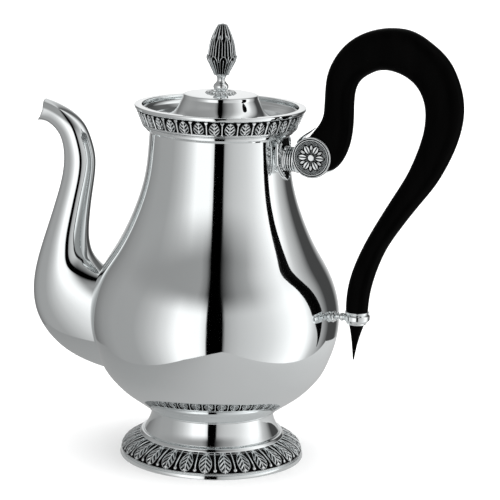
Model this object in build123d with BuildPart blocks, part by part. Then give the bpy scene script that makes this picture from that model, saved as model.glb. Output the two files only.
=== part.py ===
"""Silver coffee pot: raised body on a spreading foot, swan spout, scrolled black handle, lift-off lid.

Millimetres, +Z up.  The origin is the centre of the foot on the table.  The spout points along -X and
the handle along +X.
"""
import os

from build123d import *

os.makedirs("parts", exist_ok=True)

# Driving dimensions ------------------------------------------------------------------------------
WALL = 1.0                      # thickness of the raised body
FLOOR = 0.6                     # thickness of its floor
SHEET = 0.8                     # thickness of the lid and the foot
BODY_FLOOR_Z = 32.6             # underside of the body
NECK_TOP_Z = 184.3              # upper edge of the body
NECK_R = 37.9                   # outside of the neck at that edge

RING_BORE_R = 36.2              # opening the lid drops into
SEAT_Z = 188.4                  # ledge the lid rests on
SEAT_R = 38.4                   # outside of that ledge
RIM_UNDER_Z = 193.3             # underside of the rim
RIM_TOP_Z = 195.6
RIM_R = 46.6

FOOT_R = 50.9                   # widest part of the base ring
BASE_RING_Z = 2.9               # its height
LEAF_BAND_Z = 11.0              # top of the leaf band
WAIST_FOOT_Z = 14.2             # bottom of the waist
WAIST_TOP_Z = 26.3
COLLAR_Z = 27.5                 # bottom of the collar

RIM_LEAVES = 33                 # palmettes round the rim frieze
FOOT_LEAVES = 28

LID_LIFT_GAP = 0.1              # the lid's flange stands this far off its ledge
LID_TOP_Z = 202.4
LID_TOP_R = 20.3
BEZEL_R = RING_BORE_R - 0.3

STRUT_Z = 170.0                 # axis of the upper handle mount
SOCKET_X = 56.4                 # centre of the round handle socket
SOCKET_Z = 173.2
SOCKET_R = 11.0
TENON_R = 9.8                   # round end of the wood inside the socket
GRIP_HALF = 7.2                 # half the thickness of the wood
RIVET_R = 1.5

CLAMP_X = 82.7                  # centre of the ring that holds the lower end of the handle
CLAMP_Z = 87.6
CLAMP_BORE_R = 5.9

STRAINER_Z = 75.0               # centre of the holes behind the spout
STRAINER_HOLE_R = 2.9
STRAINER_RING_R = 8.5           # six of the holes stand in a ring round the seventh

# Outside of the body from neck to foot, as (radius, height).
BODY_OUTLINE = [
    (NECK_R, NECK_TOP_Z),
    (38.6, 170.9),
    (43.3, 144.0),
    (54.9, 117.1),
    (65.7, 96.0),
    (68.5, 76.8),
    (64.1, 57.6),
    (55.8, 43.2),
    (43.1, BODY_FLOOR_Z),
]

# Stations along the spout: a point (x, z) on its upper side, one on its lower side, half its width.
SPOUT_STATIONS = [
    ((-50.0, 92.0), (-46.0, 38.6), 17.0),
    ((-64.0, 95.8), (-72.0, 42.0), 18.0),
    ((-73.4, 101.4), (-94.0, 51.0), 18.0),
    ((-77.8, 106.7), (-107.6, 66.5), 17.0),
    ((-79.2, 113.0), (-110.9, 86.0), 14.8),
    ((-79.2, 119.5), (-107.4, 104.0), 12.4),
    ((-78.4, 129.0), (-102.6, 119.5), 10.6),
    ((-77.0, 140.0), (-97.6, 135.5), 9.3),
    ((-75.6, 150.5), (-94.2, 149.0), 8.5),
    ((-75.7, 161.0), (-93.5, 161.0), 8.0),
    ((-78.0, 169.3), (-94.9, 168.0), 7.7),
    ((-82.0, 177.4), (-97.3, 172.4), 7.4),
    ((-88.9, 183.8), (-101.0, 175.8), 7.1),
    ((-98.0, 188.2), (-105.8, 177.8), 6.8),
    ((-107.5, 190.8), (-113.0, 177.6), 6.8),
]

# Stations along the wooden handle from the socket over the top and down to the spike: a point on its
# outer side, one on its inner side, half its thickness.
HANDLE_STATIONS = [
    ((50.8, 181.0), (58.8, 164.4), GRIP_HALF),
    ((53.4, 184.6), (66.3, 166.6), GRIP_HALF),
    ((56.9, 189.2), (72.0, 173.4), GRIP_HALF),
    ((59.6, 194.4), (75.0, 182.0), GRIP_HALF),
    ((60.4, 201.0), (76.1, 193.0), GRIP_HALF),
    ((60.6, 209.5), (76.0, 203.0), GRIP_HALF),
    ((61.8, 218.6), (77.0, 211.0), 7.4),
    ((65.8, 227.4), (79.8, 215.7), 7.6),
    ((73.4, 236.0), (84.2, 219.0), 7.8),
    ((84.0, 241.8), (89.6, 221.4), 8.0),
    ((95.6, 244.2), (95.6, 221.9), 8.0),
    ((106.8, 243.2), (101.0, 220.8), 8.0),
    ((117.6, 237.6), (106.4, 218.4), 8.0),
    ((126.8, 229.8), (111.0, 214.6), 7.9),
    ((132.8, 219.6), (114.3, 209.4), 7.8),
    ((136.0, 208.6), (116.1, 203.0), 7.6),
    ((136.2, 198.0), (116.3, 196.4), 7.5),
    ((133.6, 186.2), (115.2, 188.8), 7.4),
    ((128.8, 174.2), (111.8, 177.8), 7.3),
    ((122.8, 163.2), (107.6, 167.8), GRIP_HALF),
    ((114.9, 152.3), (102.6, 158.8), 7.0),
    ((104.2, 137.2), (93.4, 142.8), 6.8),
    ((97.2, 125.6), (86.6, 130.0), 6.5),
    ((92.8, 114.6), (81.6, 118.6), 6.2),
    ((90.0, 104.4), (78.0, 106.6), 6.0),
    ((88.7, 95.0), (76.8, 95.6), 5.8),
    ((88.4, 90.6), (77.0, 90.6), 5.7),
    ((87.0, 84.4), (78.6, 84.4), 4.2),
    ((84.4, 76.0), (80.2, 76.0), 2.1),
    ((82.1, 64.0), (81.5, 64.0), 0.3),
]


def finish(piece, name):
    """Label a finished piece and write it under its node's name."""
    piece.label = name
    export_step(piece, f"parts/{name}.step")


def ring(outline):
    """Turn a closed straight-sided outline of (radius, height) points round the pot's axis."""
    with BuildPart() as turned:
        with BuildSketch(Plane.XZ):
            with BuildLine():
                Polyline(*outline, close=True)
            make_face()
        revolve(axis=Axis.Z)
    return turned.part


def body_solid(extra=0.0, lift=0.0):
    """The body as a full solid, grown outward by extra and raised by lift."""
    grown = [(r + extra, z + lift) for r, z in BODY_OUTLINE]
    with BuildPart() as solid:
        with BuildSketch(Plane.XZ):
            with BuildLine():
                Spline(*grown)
                Polyline(grown[-1], (0, BODY_FLOOR_Z + lift), (0, NECK_TOP_Z + lift), grown[0])
            make_face()
        revolve(axis=Axis.Z)
    return solid.part


def oval_section(station, shrink):
    """The plane and the half axes of the oval at one station."""
    upper, lower, half_width = station
    top = Vector(upper[0], 0, upper[1])
    bottom = Vector(lower[0], 0, lower[1])
    across = top - bottom
    plane = Plane(origin=(top + bottom) / 2, x_dir=across, z_dir=across.cross(Vector(0, 1, 0)))
    half_across = across.length / 2
    # The long axis stays in the middle plane at every station, so the surface never twists.
    return plane, half_across - shrink, min(half_width, half_across - 0.05) - shrink


def lofted(stations, shrink=0.0):
    """A solid through oval stations that lie across the pot's middle plane, one length at a time."""
    with BuildPart() as solid:
        for pair in zip(stations, stations[1:]):
            for station in pair:
                plane, half_across, half_width = oval_section(station, shrink)
                with BuildSketch(plane):
                    Ellipse(half_across, half_width)
            loft(ruled=True)
    return solid.part


# Body --------------------------------------------------------------------------------------------
with BuildPart() as body_shell:
    add(body_solid())
    add(body_solid(-WALL, lift=FLOOR), mode=Mode.SUBTRACT)
    with BuildSketch(Plane(origin=(-80, 0, STRAINER_Z), x_dir=(0, 1, 0), z_dir=(1, 0, 0))):
        Circle(STRAINER_HOLE_R)
        with PolarLocations(STRAINER_RING_R, 6):
            Circle(STRAINER_HOLE_R)
    extrude(amount=30, mode=Mode.SUBTRACT)
finish(body_shell.part, "body_shell")

with BuildPart() as spout_shell:
    add(lofted(SPOUT_STATIONS))
    add(lofted(SPOUT_STATIONS, shrink=0.9), mode=Mode.SUBTRACT)
    add(body_solid(), mode=Mode.SUBTRACT)
    # The mouth is cut back in a curve that leaves a pouring lip below.
    with BuildSketch(Plane.XZ):
        with BuildLine():
            ThreePointArc((-106.6, 191.5), (-105.0, 184.8), (-111.9, 177.2))
            Polyline((-111.9, 177.2), (-120, 177.2), (-120, 191.5), (-106.6, 191.5))
        make_face()
    extrude(amount=12, both=True, mode=Mode.SUBTRACT)
finish(spout_shell.part, "spout_shell")

# Rim ---------------------------------------------------------------------------------------------
finish(
    ring([
        (RING_BORE_R, NECK_TOP_Z),
        (40.8, NECK_TOP_Z),
        (44.2, RIM_UNDER_Z),
        (42.3, RIM_UNDER_Z),
        (SEAT_R, SEAT_Z),
        (RING_BORE_R, SEAT_Z),
    ]),
    "neck_ring",
)

with BuildPart() as rim_lip:
    with BuildSketch(Plane.XZ):
        with BuildLine():
            Polyline((RIM_R - 0.7, RIM_TOP_Z), (42.5, RIM_TOP_Z), (42.3, RIM_UNDER_Z), (RIM_R - 0.9, RIM_UNDER_Z))
            ThreePointArc((RIM_R - 0.9, RIM_UNDER_Z), (RIM_R, RIM_TOP_Z - 1.1), (RIM_R - 0.7, RIM_TOP_Z))
        make_face()
    revolve(axis=Axis.Z)
finish(rim_lip.part, "rim_lip")

FRIEZE_SLOPE = 21.4             # degrees the rim frieze leans out
with BuildPart() as rim_frieze:
    with BuildSketch(Plane.XZ):
        with BuildLine():
            Polyline(
                (40.9, NECK_TOP_Z + 0.2),
                (42.0, NECK_TOP_Z + 0.2),
                (45.4, RIM_UNDER_Z - 0.1),
                (44.25, RIM_UNDER_Z - 0.1),
                close=True,
            )
        make_face()
    revolve(axis=Axis.Z)
    with Locations((0, 0, (NECK_TOP_Z + RIM_UNDER_Z) / 2)):
        with PolarLocations(43.6, RIM_LEAVES):
            Box(1.0, 0.9, 7.6, rotation=(0, FRIEZE_SLOPE, 0))
finish(rim_frieze.part, "rim_frieze")

with BuildPart() as neck_bead:
    with BuildSketch(Plane.XZ):
        with BuildLine():
            Line((38.0, NECK_TOP_Z), (38.05, NECK_TOP_Z - 3.4))
            ThreePointArc((38.05, NECK_TOP_Z - 3.4), (40.2, NECK_TOP_Z - 1.6), (40.0, NECK_TOP_Z))
            Line((40.0, NECK_TOP_Z), (38.0, NECK_TOP_Z))
        make_face()
    revolve(axis=Axis.Z)
finish(neck_bead.part, "neck_bead")

# Foot --------------------------------------------------------------------------------------------
with BuildPart() as foot_collar:
    with BuildSketch(Plane.XZ):
        with BuildLine():
            Polyline(
                (34.4, BODY_FLOOR_Z),
                (42.9, BODY_FLOOR_Z),
                (35.9, COLLAR_Z),
                (34.4, COLLAR_Z),
                close=True,
            )
        make_face()
    revolve(axis=Axis.Z)
finish(foot_collar.part, "foot_collar")

with BuildPart() as collar_bead:
    with BuildSketch(Plane.XZ):
        with BuildLine():
            Polyline((35.4, COLLAR_Z), (33.0, COLLAR_Z), (33.0, WAIST_TOP_Z), (34.4, WAIST_TOP_Z))
            ThreePointArc((34.4, WAIST_TOP_Z), (35.5, COLLAR_Z - 0.7), (35.4, COLLAR_Z))
        make_face()
    revolve(axis=Axis.Z)
finish(collar_bead.part, "collar_bead")

with BuildPart() as foot_waist:
    with BuildSketch(Plane.XZ):
        with BuildLine():
            Spline((34.1, WAIST_TOP_Z), (33.9, 23.0), (34.6, 19.9), (35.9, 16.9), (37.5, WAIST_FOOT_Z))
            Line((37.5, WAIST_FOOT_Z), (37.5 - SHEET, WAIST_FOOT_Z))
            Spline(
                (37.5 - SHEET, WAIST_FOOT_Z),
                (35.9 - SHEET, 16.6),
                (34.6 - SHEET, 19.8),
                (33.9 - SHEET, 23.0),
                (34.1 - SHEET, WAIST_TOP_Z),
            )
            Line((34.1 - SHEET, WAIST_TOP_Z), (34.1, WAIST_TOP_Z))
        make_face()
    revolve(axis=Axis.Z)
finish(foot_waist.part, "foot_waist")

with BuildPart() as foot_bead:
    with BuildSketch(Plane.XZ):
        with BuildLine():
            Polyline((37.8, WAIST_FOOT_Z), (36.6, WAIST_FOOT_Z), (37.6, LEAF_BAND_Z), (39.6, LEAF_BAND_Z))
            ThreePointArc((39.6, LEAF_BAND_Z), (39.7, LEAF_BAND_Z + 1.9), (37.8, WAIST_FOOT_Z))
        make_face()
    revolve(axis=Axis.Z)
finish(foot_bead.part, "foot_bead")

LEAF_SLOPE = 36.0               # degrees the leaf band falls outward
with BuildPart() as foot_leaf_band:
    with BuildSketch(Plane.XZ):
        with BuildLine():
            ThreePointArc((39.9, LEAF_BAND_Z), (46.2, 8.1), (50.0, BASE_RING_Z))
            Line((50.0, BASE_RING_Z), (48.2, BASE_RING_Z))
            ThreePointArc((48.2, BASE_RING_Z), (44.6, 7.0), (38.4, LEAF_BAND_Z))
            Line((38.4, LEAF_BAND_Z), (39.9, LEAF_BAND_Z))
        make_face()
    revolve(axis=Axis.Z)
    with Locations((0, 0, 7.9)):
        with PolarLocations(45.9, FOOT_LEAVES):
            Box(7.4, 0.9, 1.0, rotation=(0, LEAF_SLOPE, 0))
finish(foot_leaf_band.part, "foot_leaf_band")

with BuildPart() as foot_base_ring:
    with BuildSketch(Plane.XZ):
        with BuildLine():
            Polyline((49.9, 0), (46.8, 0), (46.8, BASE_RING_Z), (50.2, BASE_RING_Z))
            ThreePointArc((50.2, BASE_RING_Z), (FOOT_R, 1.5), (49.9, 0))
        make_face()
    revolve(axis=Axis.Z)
finish(foot_base_ring.part, "foot_base_ring")

# Upper handle mount ------------------------------------------------------------------------------
with BuildPart() as escutcheon:
    add(body_solid(1.1))
    add(body_solid(), mode=Mode.SUBTRACT)
    with BuildSketch(Plane(origin=(30, 0, STRUT_Z + 1), x_dir=(0, 1, 0), z_dir=(1, 0, 0))):
        with BuildLine():
            ThreePointArc((0, 9.8), (7.6, 8.6), (10.2, 2.0))
            ThreePointArc((10.2, 2.0), (7.6, -7.0), (0, -11.6))
            ThreePointArc((0, -11.6), (-7.6, -7.0), (-10.2, 2.0))
            ThreePointArc((-10.2, 2.0), (-7.6, 8.6), (0, 9.8))
        make_face()
    extrude(amount=20, mode=Mode.INTERSECT)
    add(neck_bead.part, mode=Mode.SUBTRACT)
finish(escutcheon.part, "escutcheon")

STRUT_REACH = 12.0              # from the escutcheon into the socket
with BuildPart() as upper_strut:
    with BuildSketch(Plane.XZ):
        with BuildLine():
            Line((38.4, STRUT_Z), (38.4, STRUT_Z + 7.8))
            Spline((38.4, STRUT_Z + 7.8), (40.4, STRUT_Z + 6.2), (43.2, STRUT_Z + 5.9), (47.4, STRUT_Z + 6.6))
            Polyline((47.4, STRUT_Z + 6.6), (38.4 + STRUT_REACH, STRUT_Z + 6.6), (38.4 + STRUT_REACH, STRUT_Z))
            Line((38.4 + STRUT_REACH, STRUT_Z), (38.4, STRUT_Z))
        make_face()
    revolve(axis=Axis(origin=(0, 0, STRUT_Z), direction=(1, 0, 0)))
    add(body_solid(1.1), mode=Mode.SUBTRACT)
    with BuildSketch(Plane.XZ):
        with Locations((SOCKET_X, SOCKET_Z)):
            Circle(SOCKET_R)
    extrude(amount=20, both=True, mode=Mode.SUBTRACT)
finish(upper_strut.part, "upper_strut")

with BuildPart() as handle_socket:
    with BuildSketch(Plane.XZ):
        with BuildLine():
            CenterArc((SOCKET_X, SOCKET_Z), SOCKET_R, 128, 142)
            CenterArc((SOCKET_X, SOCKET_Z), TENON_R + 0.1, 128, 142)
            for angle in (128, 270):
                Line(
                    (Vector(SOCKET_X, SOCKET_Z) + Vector(SOCKET_R, 0).rotate(Axis.Z, angle)),
                    (Vector(SOCKET_X, SOCKET_Z) + Vector(TENON_R + 0.1, 0).rotate(Axis.Z, angle)),
                )
        make_face()
    extrude(amount=GRIP_HALF, both=True)
finish(handle_socket.part, "handle_socket")

with BuildPart() as socket_leaf:
    with BuildSketch(Plane.XZ):
        with BuildLine():
            Spline((48.2, 181.9), (49.6, 183.8), (52.6, 186.2), (55.4, 188.1))
            Spline((55.4, 188.1), (53.2, 185.2), (51.2, 183.2), (49.6, 181.9))
            Line((49.6, 181.9), (48.2, 181.9))
        make_face()
    extrude(amount=4.5, both=True)
finish(socket_leaf.part, "socket_leaf")

CHEEK = 1.7                     # thickness of the rosette discs
ROSETTE_PETALS = 6


def rosette(side):
    """A stepped disc with a ring of petals round a boss, on one face of the socket; side is -1 or 1."""
    face = Plane(origin=(SOCKET_X, side * GRIP_HALF, SOCKET_Z), x_dir=(1, 0, 0), z_dir=(0, side, 0))
    with BuildPart() as disc:
        with BuildSketch(face):
            Circle(SOCKET_R)
            Circle(RIVET_R + 0.05, mode=Mode.SUBTRACT)
        extrude(amount=CHEEK - 0.7)
        with BuildSketch(face.offset(CHEEK - 0.7)):
            Circle(SOCKET_R)
            Circle(SOCKET_R - 1.7, mode=Mode.SUBTRACT)
        extrude(amount=0.7)
        with BuildSketch(face.offset(CHEEK - 0.7)):
            with PolarLocations(4.9, ROSETTE_PETALS):
                Ellipse(3.0, 1.5)
            with PolarLocations(4.3, ROSETTE_PETALS, start_angle=30):
                Ellipse(2.6, 0.8)
            Circle(RIVET_R + 0.05, mode=Mode.SUBTRACT)
        extrude(amount=0.8)
    return disc.part


finish(rosette(-1), "rosette_front")
finish(rosette(1), "rosette_back")

with BuildPart() as handle_rivet:
    with BuildSketch(Plane.XZ):
        with Locations((SOCKET_X, SOCKET_Z)):
            Circle(RIVET_R)
    extrude(amount=GRIP_HALF + CHEEK, both=True)
finish(handle_rivet.part, "handle_rivet")

# Wooden handle -----------------------------------------------------------------------------------
with BuildPart() as handle:
    add(lofted(HANDLE_STATIONS))
    with BuildSketch(Plane.XZ):
        with Locations((SOCKET_X, SOCKET_Z)):
            Circle(TENON_R)
    extrude(amount=GRIP_HALF, both=True)
    add(handle_socket.part, mode=Mode.SUBTRACT)
    add(socket_leaf.part, mode=Mode.SUBTRACT)
    with BuildSketch(Plane.XZ):
        with Locations((SOCKET_X, SOCKET_Z)):
            Circle(RIVET_R + 0.05)
    extrude(amount=20, both=True, mode=Mode.SUBTRACT)
    for side in (-1, 1):
        with BuildSketch(Plane(origin=(SOCKET_X, side * GRIP_HALF, SOCKET_Z), z_dir=(0, side, 0))):
            Circle(SOCKET_R + 0.05)
        extrude(amount=6, mode=Mode.SUBTRACT)
finish(handle.part, "handle")

# Lower handle mount ------------------------------------------------------------------------------
with BuildPart() as lower_boss:
    with BuildSketch(Plane(origin=(66, 0, CLAMP_Z - 1.2), z_dir=(1, 0, 0))):
        Circle(3.2)
    extrude(amount=4.0)
    with BuildSketch(Plane(origin=(70, 0, CLAMP_Z - 1.2), z_dir=(1, 0, 0))):
        Circle(2.4)
    extrude(amount=0.8)
    add(body_solid(), mode=Mode.SUBTRACT)
finish(lower_boss.part, "lower_boss")

with BuildPart() as clamp_ring:
    with BuildSketch(Plane.XZ):
        with BuildLine():
            Polyline(
                (CLAMP_X + CLAMP_BORE_R - 1.2, CLAMP_Z - 3.6),
                (CLAMP_X + CLAMP_BORE_R - 0.1, CLAMP_Z - 3.6),
                (CLAMP_X + CLAMP_BORE_R + 0.2, CLAMP_Z - 2.2),
            )
            ThreePointArc(
                (CLAMP_X + CLAMP_BORE_R + 0.2, CLAMP_Z - 2.2),
                (CLAMP_X + CLAMP_BORE_R + 1.1, CLAMP_Z),
                (CLAMP_X + CLAMP_BORE_R + 0.2, CLAMP_Z + 2.2),
            )
            Polyline(
                (CLAMP_X + CLAMP_BORE_R + 0.2, CLAMP_Z + 2.2),
                (CLAMP_X + CLAMP_BORE_R + 0.7, CLAMP_Z + 3.4),
                (CLAMP_X + CLAMP_BORE_R - 1.2, CLAMP_Z + 3.4),
                (CLAMP_X + CLAMP_BORE_R - 1.2, CLAMP_Z - 3.6),
            )
        make_face()
    revolve(axis=Axis(origin=(CLAMP_X, 0, 0), direction=(0, 0, 1)))
    add(handle.part, mode=Mode.SUBTRACT)
finish(clamp_ring.part, "clamp_ring")

with BuildPart() as lower_strut:
    with BuildSketch(Plane(origin=(70.8, 0, CLAMP_Z - 1.2), z_dir=(1, 0, 0))):
        Circle(1.7)
    with BuildSketch(Plane(origin=(73.6, 0, CLAMP_Z - 0.4), z_dir=(1, 0, 0))):
        Circle(2.3)
    with BuildSketch(Plane(origin=(76.6, 0, CLAMP_Z), z_dir=(1, 0, 0))):
        Circle(1.8)
    loft()
    add(clamp_ring.part, mode=Mode.SUBTRACT)
finish(lower_strut.part, "lower_strut")

# Lid ---------------------------------------------------------------------------------------------
FLANGE_Z = SEAT_Z + LID_LIFT_GAP
SCREW_R = 1.5
with BuildPart() as lid_cover:
    with BuildSketch(Plane.XZ):
        with BuildLine():
            ThreePointArc((SCREW_R + 0.05, LID_TOP_Z), (10.0, LID_TOP_Z - 0.15), (19.4, LID_TOP_Z - 0.6))
            ThreePointArc(
                (19.4, LID_TOP_Z - 0.6),
                (LID_TOP_R - 0.2, LID_TOP_Z - 1.1),
                (LID_TOP_R, LID_TOP_Z - 2.0),
            )
            Spline((LID_TOP_R, LID_TOP_Z - 2.0), (21.5, 197.6), (23.3, 194.0), (26.6, 190.8), (31.0, 189.5),
                   (SEAT_R - 0.4, FLANGE_Z + SHEET))
            Polyline((SEAT_R - 0.4, FLANGE_Z + SHEET), (SEAT_R - 0.4, FLANGE_Z), (31.0, FLANGE_Z))
            Spline((31.0, FLANGE_Z), (26.0, 190.2), (22.6, 193.7), (20.8, 197.4), (19.5, 200.4))
            Polyline((19.5, 200.4), (18.6, 201.1), (SCREW_R + 0.05, LID_TOP_Z - SHEET))
            Line((SCREW_R + 0.05, LID_TOP_Z - SHEET), (SCREW_R + 0.05, LID_TOP_Z))
        make_face()
    revolve(axis=Axis.Z)
finish(lid_cover.part, "lid_cover")

BEZEL_Z = 181.5
finish(
    ring([(BEZEL_R - 0.9, BEZEL_Z), (BEZEL_R, BEZEL_Z), (BEZEL_R, FLANGE_Z), (BEZEL_R - 0.9, FLANGE_Z)]),
    "lid_bezel",
)

# Finial ------------------------------------------------------------------------------------------
FINIAL_Z = LID_TOP_Z            # it stands on the lid
PLATE_LOBES = 12
STEM_Z = FINIAL_Z + 1.4
BUD_Z = 212.7
FINIAL_TIP_Z = 240.0
with BuildPart() as finial_plate:
    with BuildSketch(Plane.XY.offset(FINIAL_Z)):
        Circle(7.6)
        with PolarLocations(7.2, PLATE_LOBES):
            Circle(1.3)
        Circle(SCREW_R + 0.05, mode=Mode.SUBTRACT)
    extrude(amount=1.4)
finish(finial_plate.part, "finial_plate")

with BuildPart() as finial_stem:
    with BuildSketch(Plane.XZ):
        with BuildLine():
            Line((SCREW_R + 0.05, STEM_Z), (3.6, STEM_Z))
            Spline((3.6, STEM_Z), (4.2, 206.0), (3.2, 207.6), (2.2, 209.2), (2.5, 210.9), (3.5, BUD_Z))
            Polyline((3.5, BUD_Z), (SCREW_R + 0.05, BUD_Z), (SCREW_R + 0.05, STEM_Z))
        make_face()
    revolve(axis=Axis.Z)
finish(finial_stem.part, "finial_stem")

SCREW_TOP_Z = 222.0
with BuildPart() as finial_bud:
    with BuildSketch(Plane.XZ):
        with BuildLine():
            Spline(
                (3.6, BUD_Z),
                (5.2, 214.8),
                (7.5, 219.5),
                (8.2, 222.3),
                (7.5, 225.5),
                (6.6, 230.8),
                (4.4, 236.2),
                (2.6, 239.0),
                (0, FINIAL_TIP_Z),
            )
            Polyline(
                (0, FINIAL_TIP_Z),
                (0, SCREW_TOP_Z + 0.2),
                (SCREW_R + 0.05, SCREW_TOP_Z + 0.2),
                (SCREW_R + 0.05, BUD_Z),
                (3.6, BUD_Z),
            )
        make_face()
    revolve(axis=Axis.Z)
finish(finial_bud.part, "finial_bud")

NUT_HEIGHT = 2.4
with BuildPart() as finial_screw:
    with BuildSketch(Plane.XY.offset(LID_TOP_Z - SHEET - NUT_HEIGHT - 1.6)):
        Circle(SCREW_R)
    extrude(amount=SCREW_TOP_Z - (LID_TOP_Z - SHEET - NUT_HEIGHT - 1.6))
finish(finial_screw.part, "finial_screw")

with BuildPart() as finial_washer:
    with BuildSketch(Plane.XY.offset(LID_TOP_Z - SHEET - 0.8)):
        Circle(4.5)
        Circle(SCREW_R + 0.05, mode=Mode.SUBTRACT)
    extrude(amount=0.6)
finish(finial_washer.part, "finial_washer")

with BuildPart() as finial_nut:
    with BuildSketch(Plane.XY.offset(LID_TOP_Z - SHEET - 0.8 - NUT_HEIGHT)):
        RegularPolygon(3.2, 6)
        Circle(SCREW_R + 0.05, mode=Mode.SUBTRACT)
    extrude(amount=NUT_HEIGHT)
finish(finial_nut.part, "finial_nut")
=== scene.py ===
"""Looks of the silver coffee pot: chased friezes, polished silver, black wood, studio floor and light.

Outlines are in millimetres in the part's own frame and become metres in add_mesh().
"""

import math

import bmesh
import bpy
import numpy as np
from mathutils import Matrix, Vector


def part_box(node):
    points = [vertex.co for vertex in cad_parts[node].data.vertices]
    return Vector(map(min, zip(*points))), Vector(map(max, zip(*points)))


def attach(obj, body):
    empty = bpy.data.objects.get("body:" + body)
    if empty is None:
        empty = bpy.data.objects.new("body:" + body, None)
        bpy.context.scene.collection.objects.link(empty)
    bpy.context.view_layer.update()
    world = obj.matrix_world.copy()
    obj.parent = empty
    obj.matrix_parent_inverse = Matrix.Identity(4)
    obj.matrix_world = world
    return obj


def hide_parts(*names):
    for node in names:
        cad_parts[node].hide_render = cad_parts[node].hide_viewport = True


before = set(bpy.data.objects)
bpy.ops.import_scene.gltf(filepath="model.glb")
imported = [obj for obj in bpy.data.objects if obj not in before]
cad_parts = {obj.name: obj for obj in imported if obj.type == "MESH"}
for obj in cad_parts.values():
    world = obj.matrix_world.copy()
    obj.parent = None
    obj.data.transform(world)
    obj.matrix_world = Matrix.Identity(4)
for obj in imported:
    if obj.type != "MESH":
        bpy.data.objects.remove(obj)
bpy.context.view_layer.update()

MM = 0.001
POT = "pot"
LID = "lid"
TURNS = 288                     # facets round the large turned pieces
FINE_TURNS = 120                # facets round the small ones
WELD = 1e-6                     # metres: points closer than this become one


def box_mm(node):
    """Lowest and highest corner of a CAD node, in millimetres."""
    low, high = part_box(node)
    return np.array(low) / MM, np.array(high) / MM


# Curves ------------------------------------------------------------------------------------------
def smooth(points, count):
    """A natural cubic spline through the points, with count samples spaced by the chord lengths."""
    points = np.asarray(points, float)
    steps = np.linalg.norm(np.diff(points, axis=0), axis=1)
    knots = np.concatenate([[0], np.cumsum(steps)])
    size = len(points)
    matrix = np.zeros((size, size))
    right = np.zeros_like(points)
    matrix[0, 0] = matrix[-1, -1] = 1
    for i in range(1, size - 1):
        before, after = steps[i - 1], steps[i]
        matrix[i, i - 1:i + 2] = before, 2 * (before + after), after
        right[i] = 6 * ((points[i + 1] - points[i]) / after - (points[i] - points[i - 1]) / before)
    bend = np.linalg.solve(matrix, right)
    where = np.linspace(0, knots[-1], count)
    i = np.clip(np.searchsorted(knots, where, side="right") - 1, 0, size - 2)
    span = steps[i][:, None]
    a = (knots[i + 1] - where)[:, None]
    b = (where - knots[i])[:, None]
    return (
        bend[i] * a**3 / (6 * span)
        + bend[i + 1] * b**3 / (6 * span)
        + (points[i] / span - bend[i] * span / 6) * a
        + (points[i + 1] / span - bend[i + 1] * span / 6) * b
    )


def rounded(corners, arc=7):
    """A closed outline through (x, y, radius) corners, each one rounded by an arc of that radius."""
    corners = [tuple(c) + (0,) * (3 - len(c)) for c in corners]
    outline = []
    for k, (x, y, radius) in enumerate(corners):
        here = np.array([x, y])
        if radius == 0:
            outline.append(here)
            continue
        back = np.array(corners[k - 1][:2]) - here
        ahead = np.array(corners[(k + 1) % len(corners)][:2]) - here
        back_unit = back / np.linalg.norm(back)
        ahead_unit = ahead / np.linalg.norm(ahead)
        half = 0.5 * math.acos(np.clip(back_unit @ ahead_unit, -1, 1))
        reach = min(radius / math.tan(half), 0.49 * min(np.linalg.norm(back), np.linalg.norm(ahead)))
        start, end = here + back_unit * reach, here + ahead_unit * reach
        for t in np.linspace(0, 1, arc):
            outline.append((1 - t) ** 2 * start + 2 * t * (1 - t) * here + t * t * end)
    return np.array(outline)


def step(value, low, high):
    """0 below low, 1 above high, and a smooth rise between."""
    t = np.clip((value - low) / (high - low), 0, 1)
    return t * t * (3 - 2 * t)


def line_at(value, centre, width):
    """1 on a thin line at centre, falling off softly over width on both sides."""
    return np.exp(-(((value - centre) / width) ** 2))


def full_turn(count):
    """Evenly spaced angles round a full circle."""
    return np.linspace(0, 2 * math.pi, count, endpoint=False)


def unit_normals(line):
    """Unit normals along an open line, to its right."""
    tangent = np.gradient(line, axis=0)
    normal = np.stack([tangent[:, 1], -tangent[:, 0]], axis=1)
    return normal / np.linalg.norm(normal, axis=1, keepdims=True)


def round_z(radius, angle, height):
    """Points at a radius and angle round the vertical axis."""
    return np.stack([radius * np.cos(angle), radius * np.sin(angle), height], axis=-1)


def capped(grid):
    """The rings of a tube with each end closed to its middle point."""
    middles = grid.mean(axis=1, keepdims=True)
    first = np.broadcast_to(middles[0], grid[:1].shape)
    last = np.broadcast_to(middles[-1], grid[:1].shape)
    return np.concatenate([first, grid, last])


# Meshes ------------------------------------------------------------------------------------------
def add_object(name, data):
    """A new object in the scene."""
    thing = bpy.data.objects.new(name, data)
    bpy.context.scene.collection.objects.link(thing)
    return thing


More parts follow.
